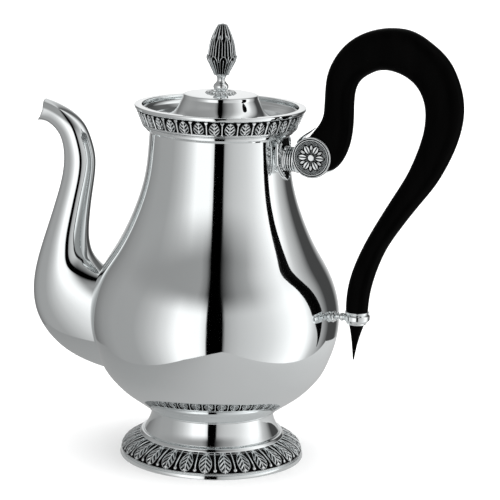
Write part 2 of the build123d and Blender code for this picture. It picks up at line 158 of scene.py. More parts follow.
def add_mesh(name, grid, body, material, close_u=False, close_v=False, relief=None, replaces=()):
    """A grid of points (rows, columns, 3) in millimetres as one smooth piece that rides on a body."""
    rows, columns = grid.shape[:2]
    index = np.arange(rows * columns).reshape(rows, columns)
    if close_v:
        index = np.vstack([index, index[:1]])
    if close_u:
        index = np.hstack([index, index[:, :1]])
    quads = np.stack([index[:-1, :-1], index[:-1, 1:], index[1:, 1:], index[1:, :-1]], axis=-1)
    mesh = bpy.data.meshes.new(name)
    mesh.from_pydata((grid.reshape(-1, 3) * MM).tolist(), [], quads.reshape(-1, 4).tolist())
    if relief is not None:
        layer = mesh.attributes.new("relief", "FLOAT", "POINT")
        layer.data.foreach_set("value", relief.reshape(-1).astype(np.float32))
    tidy = bmesh.new()
    tidy.from_mesh(mesh)
    bmesh.ops.remove_doubles(tidy, verts=tidy.verts, dist=WELD)
    bmesh.ops.recalc_face_normals(tidy, faces=tidy.faces)
    for face in tidy.faces:
        face.smooth = True
    tidy.to_mesh(mesh)
    tidy.free()
    piece = add_object(name, mesh)
    mesh.materials.append(material)
    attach(piece, body)
    if replaces:
        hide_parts(*replaces)
    return piece


def turned(outline, turns=TURNS, axis="Z", centre=(0, 0)):
    """An outline of (radius, distance along the axis) turned round an axis parallel to Z or X."""
    angle = full_turn(turns)
    radius = outline[:, :1]
    along = np.repeat(outline[:, 1:], turns, axis=1)
    if axis == "Z":
        return np.stack(
            [radius * np.cos(angle) + centre[0], radius * np.sin(angle) + centre[1], along], axis=-1
        )
    return np.stack(
        [along, radius * np.cos(angle) + centre[0], radius * np.sin(angle) + centre[1]], axis=-1
    )


def lathe(name, outline, body=POT, **where):
    """A closed outline turned into a ring-shaped or solid piece of polished silver."""
    grid = turned(np.asarray(outline, float), **where)
    return add_mesh(name, grid, body, silver, close_u=True, close_v=True, replaces=(name,))


def along_normals(outline, height):
    """An open outline with each row pushed along its normal by a height per column."""
    return outline[:, None, :] + unit_normals(outline)[:, None, :] * height[:, :, None]


def chased_ring(name, face, back, pattern, count, depth, columns):
    """A ring whose face carries count copies of a pattern in relief, each columns points wide.

    face and back are open outlines of (radius, height); pattern(x, y) gives 0..1 for x across one
    copy, -0.5 to 0.5, and y along the face, 0 to 1.
    """
    angle = full_turn(count * columns)
    x = (angle * count / (2 * math.pi)) % 1.0 - 0.5
    y = np.linspace(0, 1, len(face))
    value = pattern(x[None, :], y[:, None])
    front = along_normals(face, value * depth)
    rear = np.repeat(back[:, None, :], len(angle), axis=1)
    section = np.concatenate([front, rear])
    relief = np.concatenate([value, np.zeros((len(back), len(angle)))])
    return add_mesh(
        name, round_z(section[..., 0], angle, section[..., 1]), POT, oxide_and_painted_reflection,
        close_u=True, close_v=True, relief=relief, replaces=(name,),
    )


# Materials ---------------------------------------------------------------------------------------
def new_material(name):
    """A node material with its Principled shader."""
    material = bpy.data.materials.new(name)
    material.use_nodes = True
    nodes, links = material.node_tree.nodes, material.node_tree.links
    return material, nodes, links, nodes["Principled BSDF"]


def noise(nodes, links, scale, detail=4.0, distortion=0.0, stretch=(1, 1, 1)):
    """Noise fixed to the piece, stretched along its own axes."""
    place = nodes.new("ShaderNodeTexCoord")
    mapping = nodes.new("ShaderNodeMapping")
    mapping.inputs["Scale"].default_value = stretch
    texture = nodes.new("ShaderNodeTexNoise")
    texture.inputs["Scale"].default_value = scale
    texture.inputs["Detail"].default_value = detail
    texture.inputs["Distortion"].default_value = distortion
    links.new(place.outputs["Object"], mapping.inputs["Vector"])
    links.new(mapping.outputs["Vector"], texture.inputs["Vector"])
    return texture


def ramp(nodes, links, source, stops):
    """A colour ramp from (position, grey or colour) stops."""
    node = nodes.new("ShaderNodeValToRGB")
    elements = node.color_ramp.elements
    while len(elements) < len(stops):
        elements.new(0.5)
    for element, (position, colour) in zip(elements, stops):
        element.position = position
        rgb = (colour,) * 3 if np.isscalar(colour) else colour
        element.color = (*rgb, 1)
    links.new(source, node.inputs["Fac"])
    return node


def add_bump(nodes, links, shader, texture, strength, distance):
    """The texture as a bump, distance in metres, on the shader's normal."""
    bump = nodes.new("ShaderNodeBump")
    bump.inputs["Strength"].default_value = strength
    bump.inputs["Distance"].default_value = distance
    links.new(texture.outputs["Fac"], bump.inputs["Height"])
    links.new(bump.outputs["Normal"], shader.inputs["Normal"])


def make_silver():
    """Polished silver plate: mirror bright, with hairline polishing marks and a faint ripple."""
    material, nodes, links, shader = new_material("polished_silver_plate")
    shader.inputs["Metallic"].default_value = 1.0
    tint = ramp(
        nodes, links, noise(nodes, links, 18.0).outputs["Fac"],
        [(0.35, (0.89, 0.92, 0.925)), (0.65, (0.925, 0.95, 0.955))],
    )
    links.new(tint.outputs["Color"], shader.inputs["Base Color"])
    cloud = noise(nodes, links, 60.0, 6.0)
    haze = ramp(nodes, links, cloud.outputs["Fac"], [(0.3, 0.025), (0.8, 0.065)])
    links.new(haze.outputs["Color"], shader.inputs["Roughness"])
    hairlines = noise(nodes, links, 900.0, 2.0, 0.4, (1.0, 1.0, 0.08))
    add_bump(nodes, links, shader, hairlines, strength=0.012, distance=0.0002)
    return material


STAIN_SPREAD = 0.22             # how much the blackening wanders up and down the relief


def make_oxide_and_painted_reflection():
    """Chased silver: bright high points and blackened recesses, by the relief stored on the mesh; where
    a plain face has relief 0, as the escutcheon's middle, the black is a painted reflection.
    """
    material, nodes, links, shader = new_material("chased_silver_oxide_and_painted_reflection")
    shader.inputs["Metallic"].default_value = 1.0
    relief = nodes.new("ShaderNodeAttribute")
    relief.attribute_name = "relief"
    stain = noise(nodes, links, 700.0, 3.0)
    shift = nodes.new("ShaderNodeMath")
    shift.operation = "MULTIPLY_ADD"
    shift.inputs[1].default_value = STAIN_SPREAD
    shift.inputs[2].default_value = -STAIN_SPREAD / 2
    links.new(stain.outputs["Fac"], shift.inputs[0])
    total = nodes.new("ShaderNodeMath")
    total.operation = "ADD"
    links.new(relief.outputs["Fac"], total.inputs[0])
    links.new(shift.outputs["Value"], total.inputs[1])
    colour = ramp(
        nodes, links, total.outputs["Value"],
        [
            (0.10, 0.003), (0.38, (0.018, 0.019, 0.020)), (0.56, (0.50, 0.53, 0.54)),
            (0.76, (0.93, 0.955, 0.96)),
        ],
    )
    links.new(colour.outputs["Color"], shader.inputs["Base Color"])
    rough = ramp(nodes, links, total.outputs["Value"], [(0.15, 0.50), (0.70, 0.16), (0.97, 0.05)])
    links.new(rough.outputs["Color"], shader.inputs["Roughness"])
    grit = noise(nodes, links, 1600.0, 2.0)
    add_bump(nodes, links, shader, grit, strength=0.15, distance=0.0001)
    return material


def make_wood():
    """Ebonised wood: near black, satin, with fine pores and grain that only the highlights show."""
    material, nodes, links, shader = new_material("ebonised_wood")
    grain = noise(nodes, links, 120.0, 6.0, 0.6, (1.0, 1.6, 0.16))
    tint = ramp(
        nodes, links, grain.outputs["Fac"],
        [(0.3, (0.0003, 0.0003, 0.0003)), (0.7, (0.0012, 0.0011, 0.0011))],
    )
    links.new(tint.outputs["Color"], shader.inputs["Base Color"])
    satin = ramp(nodes, links, grain.outputs["Fac"], [(0.3, 0.34), (0.75, 0.46)])
    links.new(satin.outputs["Color"], shader.inputs["Roughness"])
    shader.inputs["Specular IOR Level"].default_value = 0.02
    add_bump(nodes, links, shader, grain, strength=0.10, distance=0.0003)
    return material


def make_steel():
    """Brushed steel for the screw inside the lid."""
    material, nodes, links, shader = new_material("screw_steel")
    shader.inputs["Metallic"].default_value = 1.0
    brushed = noise(nodes, links, 500.0, 3.0, 0.0, (1.0, 1.0, 8.0))
    tint = ramp(
        nodes, links, brushed.outputs["Fac"], [(0.3, (0.42, 0.42, 0.43)), (0.7, (0.62, 0.62, 0.63))]
    )
    links.new(tint.outputs["Color"], shader.inputs["Base Color"])
    rough = ramp(nodes, links, brushed.outputs["Fac"], [(0.3, 0.25), (0.7, 0.42)])
    links.new(rough.outputs["Color"], shader.inputs["Roughness"])
    return material


silver = make_silver()
oxide_and_painted_reflection = make_oxide_and_painted_reflection()
wood = make_wood()
steel = make_steel()

# Body --------------------------------------------------------------------------------------------
body_low, body_high = box_mm("body_shell")
NECK_TOP = body_high[2]
BODY_FLOOR = body_low[2]
WALL = 1.0
BODY_OUTLINE = [
    (37.9, 184.3), (38.2, 178.0), (38.6, 170.9), (40.0, 157.4), (43.3, 144.0), (48.3, 130.6),
    (54.9, 117.1), (61.6, 105.6), (65.7, 96.0), (68.0, 86.4), (68.5, 76.8), (67.2, 67.2),
    (64.2, 57.6), (60.8, 49.9), (55.8, 43.2), (49.8, 37.4), (43.1, 32.6),
]
body_curve = smooth(BODY_OUTLINE, 150)


def body_radius(height):
    """Outside radius of the body at a height."""
    return np.interp(height, body_curve[::-1, 1], body_curve[::-1, 0])


STRAINER_X, STRAINER_Z = -62.0, 75.0
STRAINER_HOLE_R, STRAINER_RING_R = 2.9, 8.5
STRAINER_RING = 6               # holes round the middle one
DRILL_LENGTH = 30.0


def make_body():
    """The raised body as one closed shell with the strainer holes behind the spout."""
    inside = body_curve[::-1]
    inside = inside - unit_normals(inside) * WALL
    inside = inside[inside[:, 1] > BODY_FLOOR + WALL]
    floor_out = [(r, BODY_FLOOR) for r in (42.0, 30.0, 15.0, 0.0)]
    floor_in = [(r, BODY_FLOOR + WALL) for r in (0.0, 15.0, 30.0, 40.0)]
    outline = np.concatenate([body_curve, floor_out, floor_in, inside])
    shell = lathe("body_shell", outline)
    drills = bmesh.new()
    centres = [(0.0, 0.0)]
    for k in range(STRAINER_RING):
        bearing = 2 * math.pi * k / STRAINER_RING
        centres.append((STRAINER_RING_R * math.cos(bearing), STRAINER_RING_R * math.sin(bearing)))
    radius = STRAINER_HOLE_R * MM
    for across, up in centres:
        place = Matrix.Translation(Vector((STRAINER_X, across, STRAINER_Z + up)) * MM)
        bmesh.ops.create_cone(
            drills, cap_ends=True, segments=24, radius1=radius, radius2=radius,
            depth=DRILL_LENGTH * MM, matrix=place @ Matrix.Rotation(math.pi / 2, 4, "Y"),
        )
    cutter_mesh = bpy.data.meshes.new("strainer_cutter")
    drills.to_mesh(cutter_mesh)
    drills.free()
    cutter = add_object("strainer_cutter", cutter_mesh)
    cut = shell.modifiers.new("strainer", "BOOLEAN")
    cut.operation = "DIFFERENCE"
    cut.object = cutter
    cut.solver = "EXACT"
    bpy.context.view_layer.update()
    depsgraph = bpy.context.evaluated_depsgraph_get()
    pierced = bpy.data.meshes.new_from_object(shell.evaluated_get(depsgraph))
    shell.modifiers.clear()
    shell.data = pierced
    bpy.data.objects.remove(cutter)


make_body()

# Spout -------------------------------------------------------------------------------------------
# A point (x, z) on the upper side, one on the lower side, half the width.
SPOUT_STATIONS = np.array([
    (-50.0, 92.0, -46.0, 38.6, 17.0),
    (-64.0, 95.8, -72.0, 42.0, 18.0),
    (-73.4, 101.4, -94.0, 51.0, 18.0),
    (-77.8, 106.7, -107.6, 66.5, 17.0),
    (-79.2, 113.0, -110.75, 86.0, 14.8),
    (-79.2, 119.5, -107.4, 104.0, 12.4),
    (-78.4, 129.0, -102.6, 119.5, 10.6),
    (-77.0, 140.0, -97.6, 135.5, 9.3),
    (-75.6, 150.5, -94.2, 149.0, 8.5),
    (-75.7, 161.0, -93.5, 161.0, 8.0),
    (-78.0, 169.3, -94.9, 168.0, 7.7),
    (-82.0, 177.4, -97.3, 172.4, 7.4),
    (-88.9, 183.8, -101.0, 175.8, 7.1),
    (-98.0, 188.2, -105.8, 177.8, 6.6),
    (-107.5, 190.8, -113.0, 177.6, 6.8),
])
SPOUT_WALL = 0.9
MOUTH_FOOT = 170.0              # below this height nothing is past the mouth
LIP_ROLL = 0.3                  # how far the rolled edge stands past the mouth


def oval_grid(stations, rings, around, shrink=0.0, power=2.0):
    """Rings of a tube whose upper and lower lines and half width are given at stations.

    A power above 2 makes the oval squarer, and shrink takes a wall's thickness off it.
    """
    lines = smooth(stations, rings)
    top = np.stack([lines[:, 0], np.zeros(rings), lines[:, 1]], axis=1)
    bottom = np.stack([lines[:, 2], np.zeros(rings), lines[:, 3]], axis=1)
    middle = (top + bottom) / 2
    across = (top - bottom) / 2
    half = np.linalg.norm(across, axis=1, keepdims=True)
    across *= (half - shrink) / half
    angle = full_turn(around)
    ca = np.sign(np.cos(angle)) * np.abs(np.cos(angle)) ** (2 / power)
    sa = np.sign(np.sin(angle)) * np.abs(np.sin(angle)) ** (2 / power)
    side = np.zeros((rings, 1, 3))
    side[:, 0, 1] = lines[:, 4] - shrink
    return middle[:, None, :] + across[:, None, :] * ca[None, :, None] + side * sa[None, :, None]


def mouth_line(height):
    """The spout's end, as x at a height: a curve that leaves a pouring lip below."""
    lip, waist, top = (-110.5, 177.7), (-104.7, 184.8), (-106.1, 190.7)
    ends = np.array([lip, (-108.2, 179.5), (-106.4, 181.2), waist, (-105.1, 187.5), top])
    return np.interp(height, ends[:, 1], ends[:, 0])


def trimmed(grid, start, stop, rings):
    """Each line along the tube resampled from where start turns positive to where stop does."""
    kept = np.empty((rings, grid.shape[1], 3))
    for k in range(grid.shape[1]):
        line = grid[:, k]
        first = np.argmax(start(line) > 0)
        past = np.nonzero(stop(line) > 0)[0]
        last = past[0] if len(past) else len(line) - 1
        a, b = start(line[first - 1:first + 1]) if first else (0, 1)
        begin = first - b / (b - a) if first else 0.0
        c, d = stop(line[last - 1:last + 1])
        end = last - d / (d - c)
        where = np.linspace(begin, end, rings)
        for axis in range(3):
            kept[:, k, axis] = np.interp(where, np.arange(len(line)), line[:, axis])
    return kept


def make_spout():
    """The spout as a closed thin shell from the body's wall to the rolled edge of the mouth."""
    def clear_of_body(line):
        return np.hypot(line[:, 0], line[:, 1]) - (body_radius(line[:, 2]) - WALL / 2)

    def past_mouth(line):
        past = mouth_line(line[:, 2]) - line[:, 0]
        return np.where(line[:, 2] < MOUTH_FOOT, -1.0, past)

    skins = []
    for shrink in (0.0, SPOUT_WALL):
        tube = oval_grid(SPOUT_STATIONS, rings=900, around=96, shrink=shrink)
        skins.append(trimmed(tube, clear_of_body, past_mouth, rings=220))
    outer, inner = skins
    edge = 0.5 * (outer[-1] + inner[-1]) - np.array([LIP_ROLL, 0, 0])
    grid = np.concatenate([outer, edge[None], inner[::-1]])
    add_mesh(
        "spout_shell", grid, POT, silver, close_u=True, close_v=True, replaces=("spout_shell",)
    )


make_spout()

# Rim ---------------------------------------------------------------------------------------------
lip_low, lip_high = box_mm("rim_lip")
RIM_R, RIM_TOP, RIM_UNDER = lip_high[0], lip_high[2], lip_low[2]
SEAT = 188.4                    # height of the lid's seat
RIM_LEAVES = 33
FILLET = 0.15                   # share of the frieze's height below the palmettes

lathe("rim_lip", rounded([
    (RIM_R - 0.1, RIM_TOP, 0.55), (42.5, RIM_TOP, 0.35), (42.2, RIM_UNDER, 0),
    (RIM_R - 1.0, RIM_UNDER, 0.25), (RIM_R - 0.3, RIM_UNDER + 0.5, 0.3), (RIM_R, RIM_TOP - 0.9, 0.5),
]))

lathe("neck_ring", rounded([
    (36.2, NECK_TOP, 0.2), (40.8, NECK_TOP, 0), (44.2, RIM_UNDER, 0), (42.3, RIM_UNDER, 0),
    (41.4, 191.0, 1.5), (39.4, 189.2, 1.0), (38.4, SEAT, 0.3), (36.2, SEAT, 0.25),
]))

lathe("neck_bead", rounded([
    (38.0, NECK_TOP, 0), (38.0, NECK_TOP - 3.5, 0), (38.6, NECK_TOP - 3.3, 0.25),
    (39.0, NECK_TOP - 2.5, 0.3), (40.3, NECK_TOP - 2.0, 0.6), (40.4, NECK_TOP - 0.4, 0.7),
    (39.6, NECK_TOP, 0.2),
]))


def palmette(x, y):
    """One upright palmette between two bars that flare at the top, over a plain fillet."""
    fillet = step(FILLET - y, 0.0, 0.02) * (1 - 0.9 * line_at(y, 0.055, 0.018))
    y = (y - FILLET) / (1 - FILLET)
    side = np.abs(x)
    half = 0.36 * np.clip(np.sin(np.pi * np.clip((y - 0.02) / 0.93, 0, 1) ** 0.74), 0, 1) ** 0.5
    leaf = step(half - side, 0.0, 0.045)
    ribs = 0.5 + 0.5 * np.cos(2 * np.pi * (3.6 * (y - 1.05 * side) + 0.3))
    lobes = step(half - side, 0.01, 0.10)
    midrib = line_at(side, 0.0, 0.04) * step(y, 0.05, 0.15)
    outline = line_at(half - side, 0.035, 0.028) * leaf
    heart = np.exp(-((side / 0.10) ** 2 + ((y - 0.14) / 0.09) ** 2))
    leaf_height = leaf * (0.18 + 0.72 * ribs * lobes)
    leaf_height = np.maximum.reduce([leaf_height, leaf * 0.95 * midrib, 0.8 * outline, 0.95 * heart])
    gap = 0.5 - side
    flare = 0.042 + 0.080 * step(y, 0.72, 0.95) + 0.03 * step(0.12 - y, 0, 0.12)
    bar = step(flare - gap, -0.012, 0.02) * step(0.985 - y, 0, 0.02)
    foot = step(0.045 - y, 0.0, 0.03)
    drawn = np.maximum.reduce([leaf_height, 0.95 * bar, 0.9 * foot + 0 * x]) * (y > 0)
    return np.clip(np.maximum(drawn, fillet), 0, 1)


frieze_foot, frieze_top = NECK_TOP + 0.2, RIM_UNDER - 0.05
frieze_face = np.linspace((41.1, frieze_foot), (44.7, frieze_top), 56)
frieze_back = np.linspace((44.15, frieze_top), (40.85, frieze_foot), 3)
chased_ring("rim_frieze", frieze_face, frieze_back, palmette, RIM_LEAVES, depth=0.95, columns=44)

# Foot --------------------------------------------------------------------------------------------
COLLAR_TOP, COLLAR_FOOT = BODY_FLOOR, box_mm("collar_bead")[1][2]
waist_low, waist_high = box_mm("foot_waist")
WAIST_TOP, WAIST_FOOT = waist_high[2], waist_low[2]
WAIST_WALL = 0.8
FOOT_LEAVES = 28
base_high = box_mm("foot_base_ring")[1]
BASE_R, LEAF_FOOT = base_high[0], base_high[2]

collar_out = smooth([(43.05, COLLAR_TOP), (39.4, 29.9), (35.9, COLLAR_FOOT)], 24)
lathe("foot_collar", np.concatenate([
    collar_out, [(35.2, COLLAR_FOOT), (34.4, COLLAR_FOOT), (34.4, COLLAR_TOP)]
]))

lathe("collar_bead", rounded([
    (34.9, COLLAR_FOOT, 0.2), (33.0, COLLAR_FOOT, 0), (33.0, WAIST_TOP, 0), (34.2, WAIST_TOP, 0.1),
    (35.6, WAIST_TOP + 0.15, 0.4), (35.6, COLLAR_FOOT - 0.3, 0.35),
]))

waist_out = smooth(
    [(33.4, WAIST_TOP), (33.8, 23.0), (34.6, 19.9), (35.9, 16.9), (37.5, WAIST_FOOT)], 40
)
waist_in = waist_out[::-1] - np.array([WAIST_WALL, 0])
lathe("foot_waist", np.concatenate([waist_out, waist_in]))

lathe("foot_bead", rounded([
    (37.6, WAIST_FOOT, 0.2), (36.6, WAIST_FOOT, 0), (37.4, 11.0, 0), (39.5, 11.0, 0.2),
    (40.2, 12.0, 0.9), (39.2, 13.6, 0.9), (38.3, 13.8, 0.2),
]))


def water_leaf(x, y):
    """One veined leaf, tip at y = 0 on the outer edge, with a thin ball-ended stem each side."""
    side = np.abs(x)
    length = np.clip((0.985 - y) / 0.95, 0, 1.1)
    point = np.sqrt(np.clip(1 - np.clip((length - 0.56) / 0.45, 0, 1.2) ** 2.4, 0, 1))
    half = 0.36 * point * (0.55 + 0.45 * step(length, 0.0, 0.5))
    leaf = step(half - side, 0.0, 0.05)
    veins = 0.5 + 0.5 * np.cos(2 * np.pi * (4.4 * (length - 1.1 * side) + 0.2))
    midrib = line_at(side, 0.0, 0.035)
    outline = line_at(half - side, 0.04, 0.03) * leaf
    leaf_height = leaf * (0.20 + 0.62 * veins * step(half - side, 0.03, 0.11))
    leaf_height = np.maximum.reduce([leaf_height, leaf * midrib, 0.95 * outline])
    gap = 0.5 - side
    stem = step(0.026 + 0.014 * y - gap, -0.012, 0.012) * step(y, 0.10, 0.14)
    ball = np.clip(1 - (gap / 0.10) ** 2 - ((y - 0.13) / 0.075) ** 2, 0, 1) ** 0.5
    edge = step(0.030 - y, 0.0, 0.02)
    return np.clip(np.maximum.reduce([leaf_height, 0.95 * stem, ball, 0.8 * edge + 0 * x]), 0, 1)


leaf_face = smooth([(49.6, LEAF_FOOT), (48.6, 5.4), (45.8, 7.6), (42.6, 9.3), (39.5, 10.4)], 70)
leaf_back = smooth([(38.3, 10.2), (44.4, 6.4), (47.9, LEAF_FOOT)], 6)
chased_ring("foot_leaf_band", leaf_face, leaf_back, water_leaf, FOOT_LEAVES, depth=0.85, columns=56)

lathe("foot_base_ring", rounded([
    (BASE_R - 0.05, 0.0, 0.12), (46.8, 0.0, 0.2), (46.8, LEAF_FOOT, 0), (BASE_R - 1.0, LEAF_FOOT, 0.2),
    (BASE_R - 0.7, LEAF_FOOT - 0.2, 0.2), (BASE_R - 0.7, LEAF_FOOT - 0.55, 0.2),
    (BASE_R - 1.2, LEAF_FOOT - 0.8, 0.12), (BASE_R - 0.42, LEAF_FOOT - 1.0, 0.15),
]))

# Upper handle mount ------------------------------------------------------------------------------
SOCKET = np.array([56.4, 173.2])      # centre of the socket in the middle plane
SOCKET_R = 11.0
TENON_R = 9.9                   # inside of the socket's strap
GRIP_HALF = 7.2                 # half the wood's thickness in the socket
ROSETTE_GROUND = 0.8            # how far the rosette's ground stands proud of the wood
ROSETTE_RELIEF = 0.9
ROSETTE_RIM = 9.0               # radius at which the rosette's moulded rim starts
PETALS = 12
STRUT_Z = 170.0
STRUT_START, STRUT_END = 38.9, 47.6
REEDS = 4
REED_START, REED_PITCH = 40.3, 1.3
REED_FOOT, REED_R = 6.0, 6.7    # the strut's radius between the reeds and on them
SHIELD_Z = 168.2                # height of the shield's widest place
SHIELD_HALF = 9.8
SHIELD_UP, SHIELD_DOWN = 13.6, 10.0
SHIELD_FANS = 26                # short leaves round the shield


def make_escutcheon():
    """A shield on the neck: a plain middle painted black as a painted reflection of the black wooden
    handle, a chased border each side, a pointed foot.
    """
    share = np.linspace(0, 1, 90)[:, None]
    angle = full_turn(320)[None, :]
    above = np.sin(angle) > 0
    square = np.where(above, 5.0, 1.45)
    tall = np.where(above, SHIELD_UP, SHIELD_DOWN)
    ca, sa = np.cos(angle), np.sin(angle)
    sideways, upward = np.abs(ca) ** (2 / square) * share, np.abs(sa) ** (2 / square) * share
    across = SHIELD_HALF * np.sign(ca) * sideways
    up = SHIELD_Z + tall * np.sign(sa) * upward
    half_width = np.clip(1 - upward ** square, 1e-6, 1) ** (1 / square)
    border = step(sideways / half_width, 0.52, 0.56)
    fans = 0.5 + 0.5 * np.cos(SHIELD_FANS * angle + 5 * np.sin(9 * share))
    curl = 0.5 + 0.5 * np.cos(2 * np.pi * (share - 0.62) / 0.17)
    # Outside the border the relief stays 0 and the finish colours it black: a painted reflection of the
    # wooden handle.
    value = border * (0.15 + 0.45 * fans + 0.4 * curl)
    value = np.maximum(value, step(share, 0.955, 0.975) * 0.9)
    radius = body_radius(up) + 0.1 + 0.95 * value * step(1.005 - share, 0, 0.02)
    theta = across / radius
    front = round_z(radius, theta, up)
    back = round_z(body_radius(up) + 0.02, theta, up)[::-1]
    relief = np.concatenate([value, np.zeros_like(value)])
    add_mesh(
        "escutcheon", np.concatenate([front, back]), POT, oxide_and_painted_reflection,
        close_u=True, relief=relief, replaces=("escutcheon",),
    )


make_escutcheon()

strut_line = [(7.0, STRUT_START), (6.8, 39.4), (6.3, 40.1)]
for reed in range(REEDS):
    start = REED_START + reed * REED_PITCH
    strut_line += [
        (REED_FOOT, start), (REED_R, start + 0.25), (REED_R, start + 0.8), (REED_FOOT, start + 1.0),
    ]
strut_line += [(6.6, 45.5), (7.1, 46.2), (7.1, STRUT_END)]
strut_outline = rounded(
    [(r, x, 0.12) for r, x in strut_line] + [(0.0, STRUT_END), (0.0, STRUT_START)], 4
)
strut_grid = turned(strut_outline, turns=FINE_TURNS, axis="X", centre=(0, STRUT_Z))
brightness = np.clip((strut_outline[:, :1] - REED_FOOT) / 0.5, 0, 0.95)
strut_relief = np.repeat(brightness, FINE_TURNS, axis=1)
add_mesh(
    "upper_strut", strut_grid, POT, oxide_and_painted_reflection, close_u=True, close_v=True, relief=strut_relief,
    replaces=("upper_strut",),
)


def make_socket():
    """The strap of the socket: a thick curved band round the inner side of the wood's end."""
    angle = np.radians(np.linspace(124, 276, 80))[:, None]
    section = rounded([
        (SOCKET_R - 0.1, GRIP_HALF, 0.3), (TENON_R, GRIP_HALF, 0.1),
        (TENON_R, -GRIP_HALF, 0.1), (SOCKET_R - 0.1, -GRIP_HALF, 0.3),
    ], 5)
    radius, depth = section[:, 0][None, :], section[:, 1][None, :]
    grid = np.stack([
        SOCKET[0] + radius * np.cos(angle), depth + 0 * angle, SOCKET[1] + radius * np.sin(angle)
    ], axis=-1)
    add_mesh(
        "handle_socket", capped(grid), POT, silver, close_u=True, replaces=("handle_socket",)
    )


make_socket()


def make_leaf():
    """The pointed leaf that runs from the socket up the back of the wood."""
    rows, columns = 40, 24
    line = smooth([(46.6, 180.2), (48.6, 182.6), (52.0, 185.4), (55.6, 188.3)], rows)
    normal = -unit_normals(line)
    t = np.linspace(0, 1, rows)
    half = 5.2 * (1 - t**2.2) ** 0.8 + 0.05
    thick = 1.5 * (1 - 0.8 * t)
    angle = full_turn(columns)
    keel = 1 + 0.35 * line_at(np.cos(angle), 0.0, 0.25) * (np.sin(angle) > 0)
    out = thick[:, None] * np.sin(angle)[None, :] * keel[None, :] * 0.5
    grid = np.stack([
        line[:, :1] + normal[:, :1] * out,
        half[:, None] * np.cos(angle)[None, :],
        line[:, 1:] + normal[:, 1:] * out,
    ], axis=-1)
    add_mesh("socket_leaf", capped(grid), POT, silver, close_u=True, replaces=("socket_leaf",))


make_leaf()


def make_rosette(name, side):
    """A disc with a moulded rim, a stippled ground, petals long and short in turn, and a boss."""
    radius = np.linspace(0, SOCKET_R, 150)[:, None]
    angle = full_turn(360)[None, :]
    x, z = radius * np.cos(angle), radius * np.sin(angle)
    stipple = np.sin(5.6 * x + 1.3 * z) * np.sin(5.2 * z - 1.9 * x) + 0.4 * np.sin(11 * x - 5 * z)
    value = np.where(radius < ROSETTE_RIM, 0.46 + 0.22 * stipple, 0.03)
    for k in range(PETALS):
        turn = 2 * math.pi * k / PETALS
        along = x * math.cos(turn) + z * math.sin(turn)
        across = -x * math.sin(turn) + z * math.cos(turn)
        if k % 2 == 0:
            start, end, half = 1.9, 7.3, 1.55
            groove = line_at(across, 0.0, 0.28)
        else:
            start, end, half = 3.6, 7.0, 0.85
            groove = 0.4 * line_at(across, 0.0, 0.16)
        t = np.clip((along - start) / (end - start), 0, 1)
        width = half * np.clip(np.sin(np.pi * t**1.25), 0, 1) ** 0.6
        inside = step(width - np.abs(across), 0.0, 0.30) * ((along > start) & (along < end))
        petal = inside * (0.98 - 0.70 * groove) * (0.75 + 0.25 * t)
        near = (along > start) & (along < end + 0.5)
        shadow = step(width + 0.55 - np.abs(across), 0.0, 0.2) * near
        value = np.maximum(value * (1 - 0.85 * shadow), petal)
    boss = np.clip(1 - (radius / 2.05) ** 2, 0, 1) ** 0.5
    value = np.where(radius < 2.1, np.maximum(boss, 0.15), value)
    for centre, width, height in ((9.40, 0.34, 0.85), (10.50, 0.42, 1.0)):
        bead = np.clip(1 - ((radius - centre) / width) ** 2, 0, 1) ** 0.5
        value = np.maximum(value, height * bead)
    lift = GRIP_HALF + ROSETTE_GROUND + ROSETTE_RELIEF * value
    lift = np.where(radius > SOCKET_R - 0.25, GRIP_HALF + ROSETTE_RELIEF, lift)
    front = np.stack([SOCKET[0] + x, side * lift, SOCKET[1] + z], axis=-1)
    back = np.stack([SOCKET[0] + x, side * GRIP_HALF + 0 * x, SOCKET[1] + z], axis=-1)[::-1]
    relief = np.concatenate([value, np.ones_like(value)])
    add_mesh(
        name, np.concatenate([front, back]), POT, oxide_and_painted_reflection, close_u=True, relief=relief,
        replaces=(name,),
    )


make_rosette("rosette_front", -1)
make_rosette("rosette_back", 1)

# Wooden handle -----------------------------------------------------------------------------------
# A point (x, z) on the outer side, one on the inner side, half the thickness.
HANDLE_STATIONS = np.array([
    (50.8, 181.0, 58.8, 164.4, 7.1),
    (53.4, 184.6, 66.3, 166.6, 7.2),
    (56.9, 189.2, 72.0, 173.4, 7.2),
    (59.6, 194.4, 75.0, 182.0, 7.2),
    (60.4, 201.0, 76.1, 193.0, 7.2),
    (60.6, 209.5, 76.0, 203.0, 7.2),
    (61.8, 218.6, 77.0, 211.0, 7.4),
    (65.8, 227.4, 79.8, 215.7, 7.6),
    (73.4, 236.0, 84.2, 219.0, 7.8),
    (84.0, 241.8, 89.6, 221.4, 8.0),
    (95.6, 244.2, 95.6, 221.9, 8.0),
    (106.8, 243.2, 101.0, 220.8, 8.0),
    (117.6, 237.6, 106.4, 218.4, 8.0),
    (126.8, 229.8, 111.0, 214.6, 7.9),
    (132.8, 219.6, 114.3, 209.4, 7.8),
    (136.0, 208.6, 116.1, 203.0, 7.6),
    (136.2, 198.0, 116.3, 196.4, 7.5),
    (133.6, 186.2, 115.2, 188.8, 7.4),
    (128.8, 174.2, 111.8, 177.8, 7.3),
    (122.8, 163.2, 107.6, 167.8, 7.2),
    (114.9, 152.3, 102.6, 158.8, 7.0),
    (104.2, 137.2, 93.4, 142.8, 6.8),
    (97.2, 125.6, 86.6, 130.0, 6.5),
    (92.8, 114.6, 81.6, 118.6, 6.2),
    (90.0, 104.4, 78.0, 106.6, 6.0),
    (88.7, 95.0, 76.8, 95.6, 5.8),
    (88.4, 90.6, 77.0, 90.6, 5.7),
    (87.0, 84.4, 78.6, 84.4, 4.2),
    (84.4, 76.0, 80.2, 76.0, 2.1),
    (82.1, 64.0, 81.5, 64.0, 0.3),
])
CLEAR = 0.02                    # how far the wood stays inside the CAD handle's box


